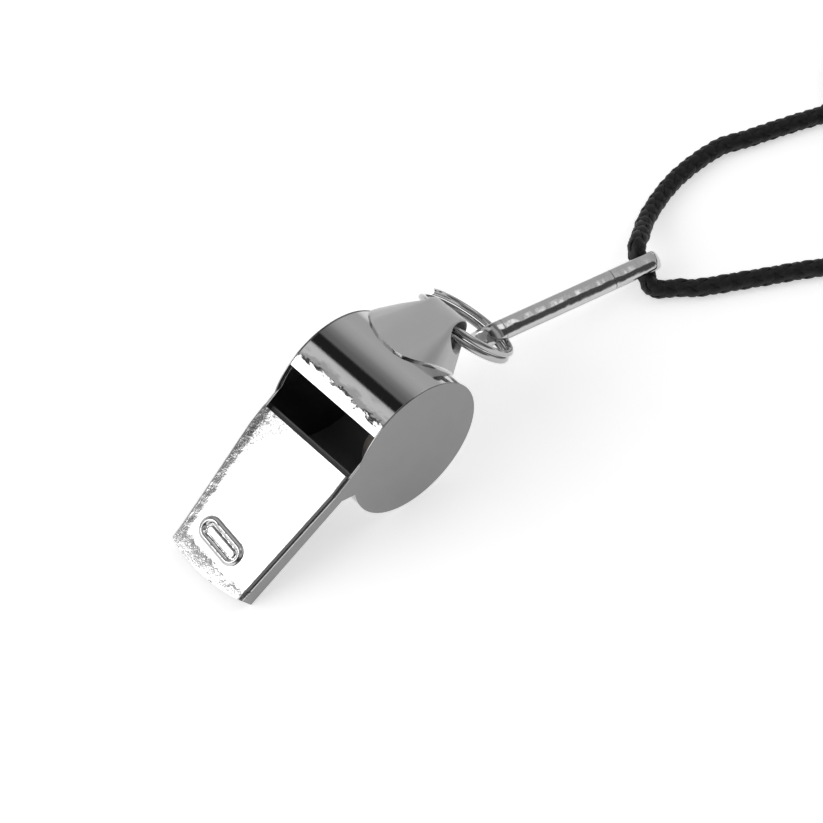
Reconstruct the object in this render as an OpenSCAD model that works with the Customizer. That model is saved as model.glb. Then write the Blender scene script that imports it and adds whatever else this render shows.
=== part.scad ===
// Metal pea whistle with a split ring, a spring clip and a braided neck cord.
// The whistle rests on its barrel and on the tip of its mouthpiece. Z is up, X runs from the
// mouthpiece's tip to the clip, and the surface that it stands on is at Z = 0.

/* [Barrel] */
// Radius of the two side plates' discs
disc_r = 10.25; // [8:0.05:14]
// Width of the whistle over its side plates
whistle_w = 16.7; // [14:0.1:22]
// Thickness of a side plate
plate_t = 0.4; // [0.3:0.05:0.9]
// Thickness of the barrel's sheet
sheet_t = 0.5; // [0.3:0.05:0.8]
// How far the discs stand proud of the barrel's sheet
disc_lip = 0.05; // [0.05:0.05:0.5]
// Angle of the roof lip in front of the barrel's top
roof_lip_angle = 7.2; // [2:0.1:14]

/* [Mouthpiece] */
// Length from the barrel's axis to the mouthpiece's tip corners
tip_reach = 28.3; // [25:0.1:34]
// How far the curved tip bulges in its middle
tip_bulge = 0.95; // [0.3:0.05:2]
// Width of the mouthpiece at its tip, over the side plates
tip_w = 13.9; // [11:0.1:16]
// How far the top plate's face lies below the top of the discs
top_drop = 1.05; // [0.7:0.05:1.6]
// Height of the mouthpiece at its tip
tip_h = 2.8; // [2.4:0.05:4]
// Height of the mouthpiece at the barrel
heel_h = 2.3; // [2:0.05:3]
// How far in front of the discs the side plates draw in
bend_out = 0.25; // [0.05:0.05:2]
// How far the side plates' lower edge drops from there to the disc
heel_drop = 1.8; // [1:0.1:2.8]
// Length from the barrel's axis to the lip in front of the window
window_reach = 7.5; // [6:0.1:8.5]

/* [Oval grip] */
// Distance of the oval's middle from the tip corners
oval_in = 3.9; // [3.4:0.05:6]
// Distance of the oval's middle to the left of the plate's middle
oval_side = 0.7; // [0:0.05:1]
// Turn of the oval in the plate
oval_turn = 6; // [0:1:10]
// Distance between the middles of its round ends
oval_straight = 4.6; // [2:0.1:6]
// Radius of its round ends to the middle of the bead
oval_r = 1.1; // [0.8:0.05:1.6]
// Radius of the bead
bead_r = 0.45; // [0.3:0.05:0.6]
// How far the bead stands up
bead_proud = 0.33; // [0.2:0.01:0.4]

/* [Pea] */
// Radius of the cork pea
pea_r = 4; // [3.5:0.1:5.6]
// Gap between the pea and the barrel's wall
pea_gap = 0.25; // [0.15:0.05:0.5]
// Gap between the pea and the right side plate
pea_rest = 0.15; // [0.1:0.05:3]

/* [Ring lug] */
// How far the middle of the ring's tunnel lies beyond the discs
tunnel_out = 4.45; // [3.8:0.05:5.6]
// Angle of the lug above the line through the mouthpiece
lug_angle = 1.2; // [0:0.1:6]
// Thickness of the nose round the tunnel
nose_wall = 0.35; // [0.3:0.05:0.6]
// Width of the nose
nose_w = 5.7; // [5:0.1:6.4]
// Thickness of the lug's sheet
lug_t = 0.6; // [0.4:0.05:0.7]
// How much less than the discs' radius the half height of the lug's foot is
foot_low = 3.05; // [2.5:0.05:4]
// Room between the lug's foot and the right side plate
foot_room = 1.45; // [1:0.05:2]
// Room between the lug's foot and the left side plate, which cuts the foot's oval short
foot_seat = 0.1; // [0.05:0.05:0.5]
// How far the foot's oval would reach beyond the left side plate
foot_over = 4.55; // [3:0.05:5]

/* [Split ring] */
// Outer diameter of the split ring
ring_od = 14.56; // [13.6:0.1:15.2]
// Diameter of its wire
wire_d = 0.95; // [0.7:0.05:1]
// Slope of the hanging ring below the level
ring_slope = 46.6; // [40:0.1:54]
// How far the ring is pushed to the left in the lug
ring_side = 0.8; // [0:0.1:0.9]
// Turn of the ring's axis to the front on its right side
ring_yaw = 3.4; // [0:0.1:5]

/* [Clip] */
// Distance between the middles of the clip's two bends
clip_centres = 27.9; // [23:0.1:30]
// Outer radius of the bend round the ring
near_r = 3.1; // [3:0.05:3.5]
// Outer radius of the bend round the cord
far_r = 2.6; // [2.6:0.05:3]
// Width of the clip's strip
strip_w = 2.7; // [1.8:0.1:2.8]
// Thickness of the strip in its middle
strip_t = 0.9; // [0.7:0.05:0.9]
// How much thinner the strip is at its edges
strip_crown = 0.4; // [0.2:0.05:0.5]
// Length of the nose from the far bend's end to the gate
nose_len = 9.9; // [8:0.1:11]
// Length of the gate's tongue under the nose
tongue_len = 1.3; // [0.8:0.1:1.6]
// Thickness of the tongue
tongue_t = 0.45; // [0.3:0.05:0.5]
// Lean of the clip to the right
clip_lean = 34.7; // [28:0.1:38]
// Turn of the clip to the right
clip_yaw = 2.5; // [0:0.1:10]

/* [Cord] */
// Diameter of the neck cord
cord_d = 2.7; // [2.3:0.1:2.8]
// Turns in each layer of the coil
layer_turns = 4; // [3:1:5]
// Radius of the coil's outer turn
coil_r = 20.4; // [19.6:0.1:22]
// Least gap between the coil's turns
turn_gap = 0.5; // [0.45:0.05:0.8]
// Diameter of the knot
knot_d = 6.4; // [5.6:0.1:7]
// Length of the knot
knot_len = 8; // [7:0.1:10]
// Length of the knot's cut tails
tail_len = 5; // [3:0.5:8]

/* [Hidden] */

// Smoothness of round faces and of the lug's rounding
fine = 96;
round_fn = 32;
// Overrun of every cut
over = 1;
// Clearances: a soldered seat, a running gap, and between the clip and the surface under it
seat_gap = 0.02;
run_gap = 0.1;
stand_gap = 0.1;

// Barrel
half_w = whistle_w/2;
inner_half_w = half_w - plate_t;
wrap_r = disc_r - disc_lip;
chamber_r = wrap_r - sheet_t;
top_height = disc_r - top_drop;
bend_reach = disc_r + bend_out;
heel_height = top_height - heel_h;
heel_foot = heel_height - heel_drop;
tip_height = top_height - tip_h;
wrap_front_angle = 180 - asin(heel_height/wrap_r);
wrap_sweep = 360 - (wrap_front_angle - 90 - roof_lip_angle);

// Rest: the line from the mouthpiece's lower tip edge that touches the barrel underneath
tip_line = norm([tip_reach, tip_height]);
rest_tilt = atan2(tip_height, tip_reach) + asin(disc_r/tip_line);

// Mouthpiece
cheek_taper = atan2(half_w - tip_w/2, tip_reach - bend_reach);
inner_bend = plate_t*tan(cheek_taper/2);
cheek_inset = plate_t/cos(cheek_taper) + seat_gap;
tip_arc_r = (pow(tip_w/2, 2) + pow(tip_bulge, 2))/(2*tip_bulge);
plate_under = top_height - sheet_t;
plate_seat = plate_under - seat_gap;
web_reach = disc_r*cos(asin(plate_under/disc_r));
foot_x = disc_r*cos(asin(heel_foot/disc_r));

// Pea
pea_reach = chamber_r - pea_gap - pea_r;
pea_side = inner_half_w - pea_rest - pea_r;

// Ring
ring_r = (ring_od - wire_d)/2;
ring_stack = (wire_d + run_gap)/2;
ring_start = -8;
ring_wound = 656;
ring_rings = 72;
ring_sides = 8;
cross_start = 292;
cross_span = 56;
tunnel_gap = 0.14;
lug_up = rest_tilt + lug_angle;
tunnel_reach = disc_r + tunnel_out;
ring_sag = ring_r - sqrt(pow(ring_r, 2) - pow(nose_w/2 + ring_side, 2));
tunnel_clear = wire_d/2 + norm([ring_stack, ring_sag]) + tunnel_gap;
nose_r = tunnel_clear + nose_wall;
foot_in = 4.25;
foot_reach = disc_r - foot_in;
foot_half_h = disc_r - foot_low;
foot_right = inner_half_w - foot_room;
foot_left = inner_half_w + foot_over;
foot_slice = 0.1;
mouth_from = 2.5;
mouth_len = 4;
mouth_open = 1.35;
mouth_turn = -63;

// Where the whole stands: the middle of whistle, ring and clip is over the origin
function rest_x(x, z) = x*cos(rest_tilt) - z*sin(rest_tilt);
ring_down = [cos(ring_slope)*cos(ring_yaw), -cos(ring_slope)*sin(ring_yaw), -sin(ring_slope)];
tunnel = [tunnel_reach*cos(lug_up), ring_side, disc_r + tunnel_reach*sin(lug_up)];
hook = tunnel + 2*ring_r*ring_down;

// Clip: pitched so that its far bend lies on the surface
hook_in = -0.4;
hook_side = 0.3;
far_low = (far_r - strip_crown)*cos(clip_lean) + strip_w/2*sin(clip_lean);
clip_pitch = asin((hook[2] - far_low - stand_gap)/(clip_centres + hook_in));
clip_dir = [cos(clip_pitch)*cos(clip_yaw), -cos(clip_pitch)*sin(clip_yaw), -sin(clip_pitch)];
clip_flat = [sin(clip_lean)*sin(clip_pitch), cos(clip_lean), sin(clip_lean)*cos(clip_pitch)];
clip_across = [clip_flat[0]*cos(clip_yaw) + clip_flat[1]*sin(clip_yaw),
    clip_flat[1]*cos(clip_yaw) - clip_flat[0]*sin(clip_yaw), clip_flat[2]];
near_centre = hook - [0, hook_side, 0] + hook_in*clip_dir;
far_centre = near_centre + clip_centres*clip_dir;
clip_end_x = far_centre[0] + far_r*norm([clip_across[1], clip_across[2]]);
middle_x = (rest_x(-tip_reach - tip_bulge, top_height) + clip_end_x)/2;
shift = [-middle_x, 0, 0];

leg_slope = asin((near_r - far_r)/clip_centres);
leg_len = clip_centres*cos(leg_slope);
pivot_in = 0.3;
pivot_r = strip_t/2;
gate_end = leg_len + far_r - nose_len;
tongue_gap = 0.12;
tongue_root = 1.1;

// Cord: round-number points chosen by hand, on the surface but for the hump over the clip
eye = far_centre + shift;
cord_r = cord_d/2;
upper_points = [
    [37.9, 0.3, 4.1], [39, 1.3, 4.2], [40.9, 2.5, 3.5], [43.7, 4.5, 2.3], [47.1, 6.2, 1.6],
    [50.5, 7.4, 1.4], [53.7, 8.1, 1.4], [57.1, 8.4, 1.4], [60.2, 8.4, 1.4], [62.9, 8.1, 1.4],
    [66.2, 6.8, 1.4], [69.8, 5.6, 1.4], [74.4, 4, 1.4], [78, 2.7, 1.4], [79.7, 2.6, 1.4],
    [81.4, 3.1, 1.5], [83, 4.2, 1.6], [84.6, 5.8, 2], [86.7, 7.4, 2.5], [89.3, 8.6, 3.3],
    [91.9, 9, 4.1]];
lower_points = [
    [36.6, -4.3, 1.5], [37.7, -5.5, 1.4], [39.3, -6.6, 1.4], [40.7, -8, 1.4], [42.5, -9.2, 1.4],
    [46.3, -11.4, 1.4], [49.9, -13.5, 1.4], [53.8, -15.7, 1.4], [56.7, -17.5, 1.4], [61.3, -19.8, 1.4]];
eye_step = 1.4;
strand_sides = 8;
coil_sides = 6;
coil_rings = 24;

// Coil: in at the bottom, a climb where the spiral turns round, and out on top
coil_centre = [97, -11.9];
coil_start = 240;
coil_exit = 90;
coil_pitch = cord_d + turn_gap;
coil_wound = 2*layer_turns + (coil_exit + 360 - coil_start)/360;
coil_in_r = coil_r - coil_wound/2*coil_pitch;
coil_steps = coil_wound*coil_rings;
climb_turns = 0.5;
knot_back = tail_len + 2.75*cord_d;

echo(rest_tilt = rest_tilt, middle_x = middle_x, tunnel = tunnel + shift, hook = hook + shift,
    near = near_centre + shift, eye = eye, across = clip_across, dir = clip_dir, pitch = clip_pitch);

// Places the whistle, modelled with its axis on the origin and its top plate level, at rest
module at_rest() {
    translate(shift + [0, 0, disc_r]) rotate([0, -rest_tilt, 0]) children();
}

// A cylinder across the whistle, centred on the axis
module across(r, w, detail = fine) {
    rotate([90, 0, 0]) cylinder(r = r, h = w, center = true, $fn = detail);
}

// The mouthpiece's outline from the window's lip to the tip's curve, drawn in by an inset on both
// sides, from a height to another
module mouth_block(low, high, inset) {
    bend_half = half_w - inset;
    end_half = tip_w/2 - inset - tip_bulge*tan(cheek_taper);
    intersection() {
        translate([0, 0, low]) linear_extrude(high - low)
            polygon([[-window_reach, bend_half], [-window_reach, -bend_half],
                [-bend_reach, -bend_half], [-tip_reach - tip_bulge, -end_half],
                [-tip_reach - tip_bulge, end_half], [-bend_reach, bend_half]]);
        translate([tip_arc_r - tip_reach - tip_bulge, 0, low - over])
            cylinder(r = tip_arc_r, h = high - low + 2*over, $fn = 2*fine);
    }
}

module barrel_wrap() {
    color("silver") at_rest()
        rotate([90, 0, 0]) translate([0, 0, -inner_half_w])
            rotate([0, 0, wrap_front_angle])
                rotate_extrude(angle = wrap_sweep, $fn = fine)
                    translate([chamber_r, 0]) square([sheet_t, 2*inner_half_w]);
}

// Disc, web beside the window and drawn-in cheek in one plate
side_gap = plate_t/cos(cheek_taper);
web_foot = [-foot_x, heel_foot];
heel = [-bend_reach, heel_height];
web_in = web_foot + (web_foot - heel)/2;
module side_plate(side) {
    at_rest() mirror([0, side < 0 ? 1 : 0, 0]) {
        translate([0, inner_half_w + plate_t/2, 0]) across(disc_r, plate_t);
        intersection() {
            linear_extrude(disc_r)
                polygon([[0, inner_half_w], [0, half_w], [-bend_reach, half_w], [-tip_reach, tip_w/2],
                    [-tip_reach, tip_w/2 - side_gap], [-bend_reach + inner_bend, inner_half_w]]);
            translate([0, half_w + over, 0]) rotate([90, 0, 0]) linear_extrude(whistle_w)
                polygon([[-tip_reach - over, tip_height], [-tip_reach, tip_height], heel, web_in,
                    [-web_reach + over, plate_seat], [-tip_reach - over, plate_seat]]);
        }
    }
}

module side_plate_right() {
    color("lightgray") side_plate(-1);
}

module side_plate_left() {
    color("lightgray") side_plate(1);
}

// Rounded bead round the oval grip, half sunk in the plate
module oval_bead() {
    for (end = [-1, 1]) {
        translate([0, end*oval_straight/2, 0]) rotate([0, 0, end > 0 ? 0 : 180])
            rotate_extrude(angle = 180, $fn = round_fn)
                translate([oval_r, 0]) circle(r = bead_r, $fn = round_fn);
        translate([end*oval_r, 0, 0]) across(bead_r, oval_straight, round_fn);
    }
}

module mouthpiece_top() {
    color("whitesmoke") at_rest() {
        mouth_block(plate_under, top_height, 0);
        intersection() {
            translate([oval_in - tip_reach, oval_side, top_height + bead_proud - bead_r])
                rotate([0, 0, -oval_turn]) oval_bead();
            mouth_block(plate_under, top_height + tip_h, 0);
        }
    }
}

// Sheet under the air way: it slopes with the side plates' edge and runs level into the barrel
module mouthpiece_floor() {
    color("gray") at_rest() difference() {
        intersection() {
            rotate([90, 0, 0]) translate([0, 0, -half_w]) linear_extrude(whistle_w)
                polygon([[-tip_reach, tip_height], [-bend_reach, heel_height], [0, heel_height],
                    [0, heel_height + sheet_t], [-bend_reach, heel_height + sheet_t],
                    [-tip_reach, tip_height + sheet_t]]);
            mouth_block(0, top_height, cheek_inset);
        }
        across(wrap_r + seat_gap, whistle_w + 2*over);
    }
}

// The lug's wedge, straight from its nose to a wide oval foot inside the barrel, drawn in by one
// sheet thickness for its hollow
module lug_wedge(inset) {
    foot_oval = [for (k = [0:fine - 1]) let (a = 360*k/fine)
        [(cos(a) < 0 ? foot_right - inset : foot_left - inset)*cos(a), (foot_half_h - inset)*sin(a)]];
    intersection() {
        hull() {
            translate([tunnel_reach, 0, 0]) across(nose_r - inset, nose_w - 2*inset, round_fn);
            translate([foot_reach, 0, 0]) rotate([90, 0, 90]) linear_extrude(foot_slice) polygon(foot_oval);
        }
        translate([0, -whistle_w, -disc_r])
            cube([2*disc_r, whistle_w + inner_half_w - foot_seat - inset, 2*disc_r]);
    }
}

// A mouth of the tunnel, opened towards the hanging ring while its upper edge stays in line
module tunnel_mouth() {
    rotate([90, 0, 0]) translate([tunnel_reach, 0, 0]) rotate([0, 0, mouth_turn])
        translate([-tunnel_clear, 0, mouth_from])
            linear_extrude(mouth_len, scale = 1 + mouth_open/tunnel_clear)
                translate([tunnel_clear, 0]) circle(r = tunnel_clear, $fn = round_fn);
}

module ring_lug() {
    color("darkgray") at_rest() rotate([0, -lug_angle, 0]) difference() {
        lug_wedge(0);
        lug_wedge(lug_t);
        across(wrap_r + seat_gap, whistle_w + 2*over);
        translate([tunnel_reach, 0, 0]) across(tunnel_clear, whistle_w + 2*over);
        tunnel_mouth();
        mirror([0, 1, 0]) tunnel_mouth();
    }
}

module pea() {
    color("burlywood") translate(shift + [0, -pea_side, disc_r - pea_reach])
        sphere(r = pea_r, $fn = fine/2);
}

// Tube swept along points, whose rings stand square to the way between their neighbours
function unit(v) = v/norm(v);
function way(p, i) = unit(p[min(i + 1, len(p) - 1)] - p[max(i - 1, 0)]);
function tube_ring(c, t, up, r, n) = let (s = unit(cross(t, up)), u = cross(s, t))
    [for (k = [0:n - 1]) c + r*(cos(360*k/n)*s + sin(360*k/n)*u)];
function flat_list(lists) = [for (a = lists, b = a) b];
function tube_faces(m, n) = concat(
    [for (i = [0:m - 2], k = [0:n - 1]) [i*n + k, (i + 1)*n + k, (i + 1)*n + (k + 1)%n]],
    [for (i = [0:m - 2], k = [0:n - 1]) [i*n + k, (i + 1)*n + (k + 1)%n, i*n + (k + 1)%n]],
    [for (k = [1:n - 2]) [0, k, k + 1]],
    [for (k = [1:n - 2]) [(m - 1)*n, (m - 1)*n + k + 1, (m - 1)*n + k]]);
module tube(p, r, n, up = [0, 0, 1]) {
    polyhedron(points = flat_list([for (i = [0:len(p) - 1]) tube_ring(p[i], way(p, i), up, r, n)]),
        faces = tube_faces(len(p), n));
}

// Two turns of wire side by side, crossing over from one to the other after the first
function eased(t) = let (c = min(1, max(0, t))) c*c*(3 - 2*c);
function ring_point(a) = [ring_r*sin(a), ring_r*cos(a),
    ring_stack*(1 - 2*eased((a - cross_start)/cross_span))];
module split_ring() {
    step = ring_wound/ring_rings;
    color("gainsboro") translate(shift + tunnel + ring_r*ring_down) rotate([0, ring_slope, -ring_yaw])
        tube([for (i = [0:ring_rings]) ring_point(ring_start + i*step)], wire_d/2, ring_sides);
}

// The clip's own axes: X from the near bend to the far one, Z out through the upper leg
module at_clip() {
    translate(near_centre + shift) rotate([clip_lean, clip_pitch, -clip_yaw]) children();
}

// Half-round strip: flat inside, crowned outside, with its crown's top at 0
strip_steps = 8;
function crown(s) = -strip_crown*s*s;
function strip_outline(inset) = let (w = strip_w/2 - inset)
    concat([[-w, inset - strip_t], [w, inset - strip_t]],
        [for (i = [0:strip_steps]) let (s = 1 - 2*i/strip_steps) [s*w, crown(s) - inset]]);

// A bend is a hair slimmer than the legs, which run into it
bend_slim = 0.03;
weld = 0.25;
module bend(r, from, sweep) {
    rotate([90, 0, 0]) rotate([0, 0, from]) rotate_extrude(angle = sweep, $fn = fine)
        polygon([for (p = strip_outline(bend_slim)) [r + p[1], p[0]]]);
}

// A straight stretch of the upper leg, from one place along it to another
module upper_leg(from, to) {
    rotate([0, leg_slope, 0]) translate([from, 0, near_r]) rotate([90, 0, 90])
        linear_extrude(to - from) polygon(strip_outline(0));
}

module gate_pivot(r) {
    rotate([0, leg_slope, 0]) translate([pivot_in, 0, near_r - pivot_r])
        across(r, strip_w + 2*over, round_fn);
}

module clip_frame() {
    color("silver") at_clip() {
        difference() {
            bend(near_r, 90 - leg_slope, 180 + 2*leg_slope);
            gate_pivot(pivot_r + run_gap);
        }
        mirror([0, 0, 1]) upper_leg(-weld, leg_len + weld);
        translate([clip_centres, 0, 0]) bend(far_r, leg_slope - 90, 180 - 2*leg_slope);
        upper_leg(gate_end, leg_len + weld);
    }
}

module clip_gate() {
    low = near_r - strip_t - tongue_gap - tongue_t;
    color("gainsboro") at_clip() {
        upper_leg(pivot_in, gate_end - run_gap);
        intersection() {
            upper_leg(0, 2*pivot_in);
            gate_pivot(pivot_r);
        }
        rotate([0, leg_slope, 0])
            translate([gate_end - run_gap - tongue_root, -strip_w/2 + strip_crown, low]) {
                cube([tongue_root + run_gap + tongue_len, strip_w - 2*strip_crown, tongue_t]);
                cube([tongue_root, strip_w - 2*strip_crown, tongue_t + tongue_gap + strip_t/2]);
            }
    }
}

// Both strands start in the clip's eye and pass square through its loop
module cord_upper() {
    color("black") tube(concat([eye, eye + eye_step*clip_across],
        upper_points, [coil_out(0)]), cord_r, strand_sides);
}

module cord_lower() {
    color("black") tube(concat([eye, eye - eye_step*clip_across],
        lower_points, [knot_end]), cord_r, strand_sides);
}

// The coil's centre line, by the share of its turns that is wound
function coil_radius(t) = coil_in_r + (coil_r - coil_in_r)*abs(1 - 2*t);
function coil_level(t) = cord_r + coil_pitch*eased((t - 0.5)*coil_wound/climb_turns + 0.5);
function coil_point(t) = let (a = coil_start + 360*coil_wound*t)
    [coil_centre[0] + coil_radius(t)*cos(a), coil_centre[1] + coil_radius(t)*sin(a), coil_level(t)];
function coil_way(t, step) = unit(coil_point(t + step) - coil_point(t));
function coil_turns() = [for (i = [0:coil_steps]) coil_point(i/coil_steps)];
function coil_in(back) = coil_point(0) - back*coil_way(0, 1/coil_steps);
function coil_out(on) = coil_point(1) - (cord_d + on)*coil_way(1, -1/coil_steps);

// The knot lies on the surface clear of the coil, and the strands meet its ends low down
knot_way = -coil_way(0, 1/coil_steps);
knot_end = coil_in(knot_back + knot_len);
lobes = 3;
lobe_len = knot_len/lobes;
lobe_share = 0.3;

module cord_knot() {
    waist = knot_d/2 - cord_r/3;
    knot_side = flat_list([for (i = [0:lobes - 1])
        [[waist, i*lobe_len], [knot_d/2, (i + lobe_share)*lobe_len],
            [knot_d/2, (i + 1 - lobe_share)*lobe_len]]]);
    middle = coil_in(knot_back);
    color("black") translate([middle[0], middle[1], knot_d/2])
        rotate([0, 0, atan2(knot_way[1], knot_way[0])]) rotate([0, 90, 0]) {
            rotate_extrude($fn = round_fn)
                polygon(concat([[0, 0]], knot_side, [[0, knot_len]]));
            for (from = [-tail_len, knot_len - over]) translate([-cord_r, 0, from])
                cylinder(r = cord_r, h = tail_len + over, $fn = round_fn);
        }
}

module cord_coil() {
    color("black") tube(concat([coil_in(knot_back), coil_in(cord_d)], coil_turns(), [coil_out(0)]),
        cord_r, coil_sides);
}

// Least gap between turns of the coil, measured on its centre line
coil_marks = coil_turns();
near_steps = coil_rings/2;
coil_gap = min([for (i = [0:2:coil_steps - near_steps], j = [i + near_steps:coil_steps])
    norm(coil_marks[i] - coil_marks[j])]) - cord_d;
echo(coil_gap = coil_gap);

barrel_wrap();
side_plate_right();
side_plate_left();
mouthpiece_top();
mouthpiece_floor();
ring_lug();
pea();
split_ring();
clip_frame();
clip_gate();
cord_upper();
cord_lower();
cord_knot();
cord_coil();
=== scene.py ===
"""Metal pea whistle with a split ring, a spring clip and a braided neck cord."""
import math

import bmesh
import bpy
import numpy as np
from mathutils import Euler, Matrix, Vector


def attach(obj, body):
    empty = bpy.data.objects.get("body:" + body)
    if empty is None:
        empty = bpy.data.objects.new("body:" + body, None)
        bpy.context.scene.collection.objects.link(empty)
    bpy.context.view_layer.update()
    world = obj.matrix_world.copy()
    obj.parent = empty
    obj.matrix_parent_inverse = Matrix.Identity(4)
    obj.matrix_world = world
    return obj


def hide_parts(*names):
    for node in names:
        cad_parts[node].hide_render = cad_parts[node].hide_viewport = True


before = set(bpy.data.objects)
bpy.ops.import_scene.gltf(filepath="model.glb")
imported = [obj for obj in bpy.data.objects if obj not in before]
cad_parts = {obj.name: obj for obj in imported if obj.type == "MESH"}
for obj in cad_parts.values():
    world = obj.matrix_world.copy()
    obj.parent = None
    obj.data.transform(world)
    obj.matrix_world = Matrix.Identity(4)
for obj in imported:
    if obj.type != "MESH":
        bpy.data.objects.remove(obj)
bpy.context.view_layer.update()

MM = 0.001

# The photograph's camera: its place in metres, its way, and its focal length in pixels
CAMERA_AT = (-0.177782, -0.199731, 0.333057)
CAMERA_WAY = Vector((0.412, 0.4734, -0.7785))
CAMERA_UP = Vector((0.5267, 0.5734, 0.6275))
FOCAL, PICTURE, SENSOR = 3200, 823, 36

# Sizes of the whistle, in millimetres, as in the part's source
DISC_R = 10.25
WHISTLE_W = 16.7
PLATE_T = 0.4
SHEET_T = 0.5
WRAP_R = 10.2
ROOF_LIP = 7.2
TIP_REACH = 28.3
TIP_BULGE = 0.95
TIP_W = 13.9
TOP_HEIGHT = 9.2
TIP_H = 2.8
HEEL_H = 2.3
BEND_REACH = 10.5
HEEL_FOOT = 5.1
WINDOW_REACH = 7.5
HALF_W = WHISTLE_W / 2
CHAMBER_R = WRAP_R - SHEET_T
TOP_UNDER = TOP_HEIGHT - SHEET_T
HEEL_HEIGHT = TOP_HEIGHT - HEEL_H
TIP_HEIGHT = TOP_HEIGHT - TIP_H
REST_TILT = (math.atan2(TIP_HEIGHT, TIP_REACH)
             + math.asin(DISC_R / math.hypot(TIP_REACH, TIP_HEIGHT)))
TAPER = math.atan2(HALF_W - TIP_W / 2, TIP_REACH - BEND_REACH)
MIDDLE_X = 10.6604
LUG_UP = math.radians(1.2)

# Ring, clip and cord
TUNNEL = Vector((1.43523, 0.8, 18.6037))
RING_OD, WIRE_D = 14.56, 0.95
RING_SLOPE, RING_YAW = math.radians(46.6), math.radians(3.4)
RING_R = (RING_OD - WIRE_D) / 2
RING_STACK = (WIRE_D + 0.1) / 2
NEAR = Vector((10.3802, -0.03757, 8.80287))
CLIP_LEAN, CLIP_PITCH, CLIP_YAW = math.radians(34.7), math.radians(12.683), math.radians(2.5)
CLIP_CENTRES, NEAR_R, FAR_R = 27.9, 3.1, 2.6
STRIP_W, STRIP_T, STRIP_CROWN = 2.7, 0.9, 0.4
NOSE_LEN = 9.9
EYE = Vector((37.5735, -1.22485, 2.67724))
CORD_D = 2.7


def placed(at, turn=(0, 0, 0)):
    """Matrix from millimetres in a piece's own axes to the frame's metres."""
    spin = Euler(turn).to_matrix().to_4x4()
    return Matrix.Translation(Vector(at) * MM) @ spin @ Matrix.Scale(MM, 4)


WHISTLE = placed((-MIDDLE_X, 0, DISC_R), (0, -REST_TILT, 0))
LUG = placed((-MIDDLE_X, 0, DISC_R), (0, -REST_TILT - LUG_UP, 0))
RING_DOWN = Vector((math.cos(RING_SLOPE) * math.cos(RING_YAW),
                    -math.cos(RING_SLOPE) * math.sin(RING_YAW),
                    -math.sin(RING_SLOPE)))
RING = placed(TUNNEL + RING_R * RING_DOWN, (0, RING_SLOPE, -RING_YAW))
CLIP = placed(NEAR, (CLIP_LEAN, CLIP_PITCH, -CLIP_YAW))
WORLD = placed((0, 0, 0))


# ---------------------------------------------------------------- camera
def add(name, data):
    """A new object of the scene for a mesh, a lamp or a camera."""
    thing = bpy.data.objects.new(name, data)
    bpy.context.scene.collection.objects.link(thing)
    return thing


def set_camera():
    data = bpy.data.cameras.new("camera")
    data.sensor_width = SENSOR
    data.lens = SENSOR * FOCAL / PICTURE
    data.clip_start = 0.01
    data.clip_end = 20
    camera = add("camera", data)
    view = CAMERA_WAY.normalized()
    right = view.cross(CAMERA_UP).normalized()
    turn = Matrix((right, right.cross(view), -view)).transposed()
    camera.matrix_world = Matrix.Translation(CAMERA_AT) @ turn.to_4x4()
    bpy.context.scene.camera = camera


# ---------------------------------------------------------------- materials
class Value:
    """A socket that takes part in Python arithmetic and adds its Math nodes."""

    def __init__(self, net, socket):
        self.net = net
        self.socket = socket

    def math(self, operation, a, b=0.0, clamp=False):
        node = self.net.node("ShaderNodeMath", {"operation": operation, "use_clamp": clamp},
                             {0: a, 1: b})
        return Value(self.net, node.outputs[0])

    def __add__(self, other):
        return self.math("ADD", self, other)

    def __radd__(self, other):
        return self.math("ADD", other, self)

    def __sub__(self, other):
        return self.math("SUBTRACT", self, other)

    def __rsub__(self, other):
        return self.math("SUBTRACT", other, self)

    def __mul__(self, other):
        return self.math("MULTIPLY", self, other)

    def __rmul__(self, other):
        return self.math("MULTIPLY", other, self)

    def __pow__(self, other):
        return self.math("POWER", self, other)

    def within(self):
        """The value kept from 0 to 1."""
        return self.math("ADD", self, 0.0, clamp=True)

    def least(self, other):
        return self.math("MINIMUM", self, other)


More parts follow.
